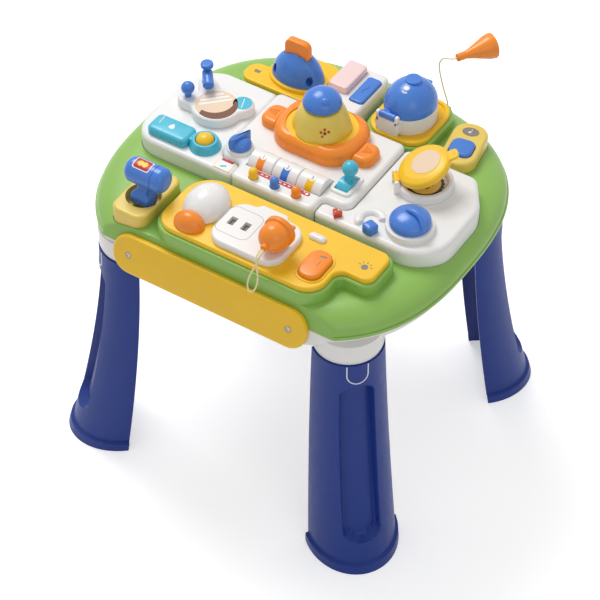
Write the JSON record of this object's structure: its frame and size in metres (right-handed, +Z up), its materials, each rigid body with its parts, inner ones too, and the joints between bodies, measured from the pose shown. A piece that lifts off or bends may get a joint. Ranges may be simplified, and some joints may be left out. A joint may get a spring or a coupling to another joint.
{
  "type": "musical activity table",
  "caption": "Toddler's activity table: a domed green deck on a white tray and curved navy legs, with keys, knobs, levers, drums, lids and a toy plug and socket.",
  "frame": {"origin": "on the floor under the middle of the table", "axes": "+X along the front from left to right, +Y to the back, +Z up"},
  "size_m": [0.474, 0.4828, 0.4829],
  "materials": {
    "green": "gloss",
    "white": "gloss",
    "yellow": "gloss",
    "navy": "gloss",
    "blue": "gloss",
    "cyan": "gloss",
    "orange": "gloss",
    "red": "gloss",
    "pink": "gloss",
    "lemon": "gloss",
    "cream": "satin",
    "steel": "brushed",
    "black": "satin"
  },
  "bodies": {
    "table": {"top_deck": "green", "base_tray": "white", "front_fascia": "yellow", "fascia_screw_left": "steel", "fascia_screw_right": "steel", "leg_front_left": "navy", "leg_front_right": "navy", "leg_back_left": "navy", "leg_back_right": "navy", "battery_door": "white", "speaker": "black", "living_plate": "yellow", "bulb_lens": "white", "bulb_base": "orange", "socket_panel": "white", "pill_lamp": "white", "toggle_base": "yellow", "left_panel": "white", "face_plaque": "white", "bottle_body": "cyan", "centre_block": "white", "drum_axle": "steel", "raft": "orange", "dome_figure": "lemon", "right_panel": "white", "cup_ring": "white", "music_plate": "yellow", "toaster_plate": "yellow", "toaster_body": "blue", "cooker_ring": "yellow", "cooker_body": "white"},
    "toggle_lever": {"toggle_lever": "blue"},
    "tap_ball": {"tap_ball": "blue"},
    "faucet": {"faucet": "blue"},
    "bottle_button": {"bottle_button": "yellow"},
    "selector_knob": {"selector_knob": "blue"},
    "number_drum_1": {"number_drum_1": "white"},
    "number_drum_2": {"number_drum_2": "white"},
    "number_drum_3": {"number_drum_3": "white"},
    "peg_yellow": {"peg_yellow": "yellow"},
    "peg_blue": {"peg_blue": "blue"},
    "peg_orange": {"peg_orange": "orange"},
    "joystick": {"joystick": "cyan"},
    "raft_key_left": {"raft_key_left": "orange"},
    "raft_key_right": {"raft_key_right": "orange"},
    "dome_cap": {"dome_cap": "blue"},
    "heart_button": {"heart_button": "red"},
    "corner_knob": {"corner_knob": "blue"},
    "spinner": {"spinner": "blue"},
    "cup_lid": {"cup_lid": "yellow"},
    "music_key": {"music_key": "blue"},
    "toast_slice": {"toast_slice": "orange"},
    "pink_key": {"pink_key": "pink"},
    "blue_key": {"blue_key": "blue"},
    "cooker_lid": {"cooker_lid": "blue"},
    "light_key": {"light_key": "orange"},
    "plug_and_loop": {"plug": "orange", "plug_loop": "lemon"},
    "scoop_and_tether": {"scoop": "orange", "scoop_tether": "cream"}
  },
  "joints": [
    {"name": "toggle_rock", "type": "hinge", "parent": "table", "child": "toggle_lever", "pos_m": [-0.13, -0.142, 0.392], "axis": [1, 0, 0], "range_deg": [-10, 26]},
    {"name": "tap_press", "type": "slide", "parent": "table", "child": "tap_ball", "axis": [0, 0, -1], "range_m": [0, 0.0035], "stiffness_N_per_m": 300, "springref_m": -0.003},
    {"name": "faucet_swivel", "type": "hinge", "parent": "table", "child": "faucet", "pos_m": [-0.1705, 0.051, 0.418], "axis": [0, 0, 1], "range_deg": [-18, 45]},
    {"name": "bottle_press", "type": "slide", "parent": "table", "child": "bottle_button", "axis": [0, 0, -1], "range_m": [0, 0.003], "stiffness_N_per_m": 300, "springref_m": -0.003},
    {"name": "selector_turn", "type": "hinge", "parent": "table", "child": "selector_knob", "pos_m": [-0.0745, -0.0215, 0.414], "axis": [0, 0, 1], "range_deg": [-60, 60]},
    {"name": "drum_spin_1", "type": "hinge", "parent": "table", "child": "number_drum_1", "pos_m": [-0.035, -0.0265, 0.406], "axis": [1, 0, 0], "continuous": true},
    {"name": "drum_spin_2", "type": "hinge", "parent": "table", "child": "number_drum_2", "pos_m": [-0.001, -0.0265, 0.406], "axis": [1, 0, 0], "continuous": true},
    {"name": "drum_spin_3", "type": "hinge", "parent": "table", "child": "number_drum_3", "pos_m": [0.033, -0.0265, 0.406], "axis": [1, 0, 0], "continuous": true},
    {"name": "peg_press_yellow", "type": "slide", "parent": "table", "child": "peg_yellow", "axis": [0, 0, -1], "range_m": [0, 0.004], "stiffness_N_per_m": 200, "springref_m": -0.003},
    {"name": "peg_press_blue", "type": "slide", "parent": "table", "child": "peg_blue", "axis": [0, 0, -1], "range_m": [0, 0.004], "stiffness_N_per_m": 200, "springref_m": -0.003},
    {"name": "peg_press_orange", "type": "slide", "parent": "table", "child": "peg_orange", "axis": [0, 0, -1], "range_m": [0, 0.004], "stiffness_N_per_m": 200, "springref_m": -0.003},
    {"name": "joystick_rock", "type": "hinge", "parent": "table", "child": "joystick", "pos_m": [0.0665, -0.0075, 0.4015], "axis": [1, 0, 0], "range_deg": [-13, 37]},
    {"name": "raft_key_press_left", "type": "slide", "parent": "table", "child": "raft_key_left", "axis": [0, 0, -1], "range_m": [0, 0.002], "stiffness_N_per_m": 300, "springref_m": -0.003},
    {"name": "raft_key_press_right", "type": "slide", "parent": "table", "child": "raft_key_right", "axis": [0, 0, -1], "range_m": [0, 0.002], "stiffness_N_per_m": 300, "springref_m": -0.003},
    {"name": "cap_press", "type": "slide", "parent": "table", "child": "dome_cap", "axis": [0, 0, -1], "range_m": [0, 0.0025], "stiffness_N_per_m": 300, "springref_m": -0.003},
    {"name": "heart_press", "type": "slide", "parent": "table", "child": "heart_button", "axis": [0, 0, -1], "range_m": [0, 0.002], "stiffness_N_per_m": 200, "springref_m": -0.003},
    {"name": "corner_knob_turn", "type": "hinge", "parent": "table", "child": "corner_knob", "pos_m": [0.1275, -0.0555, 0.405], "axis": [0, 0, 1], "range_deg": [-45, 45]},
    {"name": "spinner_spin", "type": "hinge", "parent": "table", "child": "spinner", "pos_m": [0.1635, -0.0265, 0.4135], "axis": [0, 0, 1], "continuous": true},
    {"name": "cup_lid_open", "type": "hinge", "parent": "table", "child": "cup_lid", "pos_m": [0.11381, 0.02376, 0.4198], "axis": [0.6157, -0.788, 0], "range_deg": [-23.5, 70]},
    {"name": "music_key_press", "type": "slide", "parent": "table", "child": "music_key", "axis": [0, 0, -1], "range_m": [0, 0.002], "stiffness_N_per_m": 300, "springref_m": -0.003},
    {"name": "toast_pop", "type": "slide", "parent": "table", "child": "toast_slice", "axis": [0, 0, -1], "range_m": [0, 0.013], "stiffness_N_per_m": 60, "springref_m": -0.01},
    {"name": "pink_key_press", "type": "slide", "parent": "table", "child": "pink_key", "axis": [0, 0, -1], "range_m": [0, 0.0025], "stiffness_N_per_m": 300, "springref_m": -0.003},
    {"name": "blue_key_press", "type": "slide", "parent": "table", "child": "blue_key", "axis": [0, 0, -1], "range_m": [0, 0.0025], "stiffness_N_per_m": 300, "springref_m": -0.003},
    {"name": "cooker_lid_open", "type": "hinge", "parent": "table", "child": "cooker_lid", "pos_m": [0.0515, 0.1082, 0.4256], "axis": [1, 0, 0], "range_deg": [0, 80]},
    {"name": "light_key_press", "type": "slide", "parent": "table", "child": "light_key", "axis": [0, 0, -1], "range_m": [0, 0.003], "stiffness_N_per_m": 300, "springref_m": -0.003},
    {"name": "plug_lift", "type": "slide", "parent": "table", "child": "plug_and_loop", "axis": [0, 0, 1], "range_m": [0, 0.03]},
    {"name": "scoop_swing", "type": "hinge", "parent": "table", "child": "scoop_and_tether", "pos_m": [0.082, 0.2015, 0.384], "axis": [0, 0, 1], "range_deg": [-20, 20], "stiffness_Nm_per_rad": 0.01}
  ]
}
